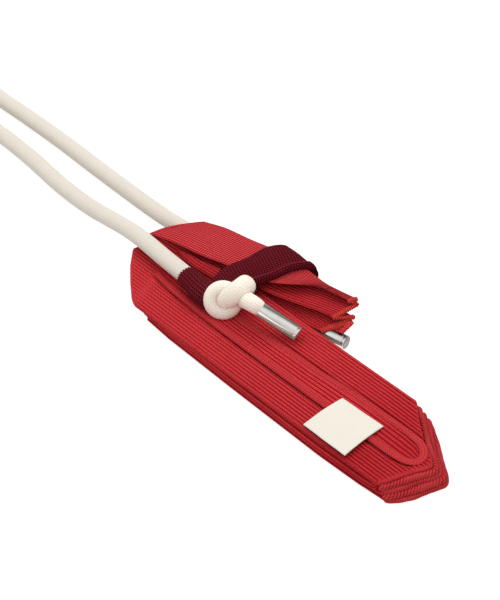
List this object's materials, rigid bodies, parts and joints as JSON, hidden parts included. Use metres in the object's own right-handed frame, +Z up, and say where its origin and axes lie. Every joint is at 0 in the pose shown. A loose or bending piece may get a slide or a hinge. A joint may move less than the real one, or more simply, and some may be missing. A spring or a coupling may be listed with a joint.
{
  "type": "pleated knit drawstring pouch",
  "caption": "Pleated knit drawstring pouch pressed flat into a narrow strip, its mouth folded back through a dark band, with a cream cord strap ending in knots and metal tips.",
  "frame": {"origin": "middle of the footprint of the folded pouch, its band and label, on the surface that it lies on", "axes": "+X along the strip towards the bottom of the pouch, +Y across the strip towards the folded flap, +Z up"},
  "size_m": [0.5896, 0.0919, 0.0298],
  "materials": {
    "red_knit": "matte rib knit in red yarn",
    "burgundy_knit": "matte fine knit in burgundy yarn",
    "label_cloth": "smooth cream woven label, plain",
    "cream_cord": "soft cream tubular knit cord",
    "bright_metal": "polished nickel plate"
  },
  "bodies": {
    "root": {"pouch_body": "red_knit", "neck_band": "burgundy_knit", "sewn_label": "label_cloth", "strap_cord": "cream_cord", "near_knot": "cream_cord", "far_knot": "cream_cord", "near_tip": "bright_metal", "far_tip": "bright_metal"}
  },
  "joints": []
}
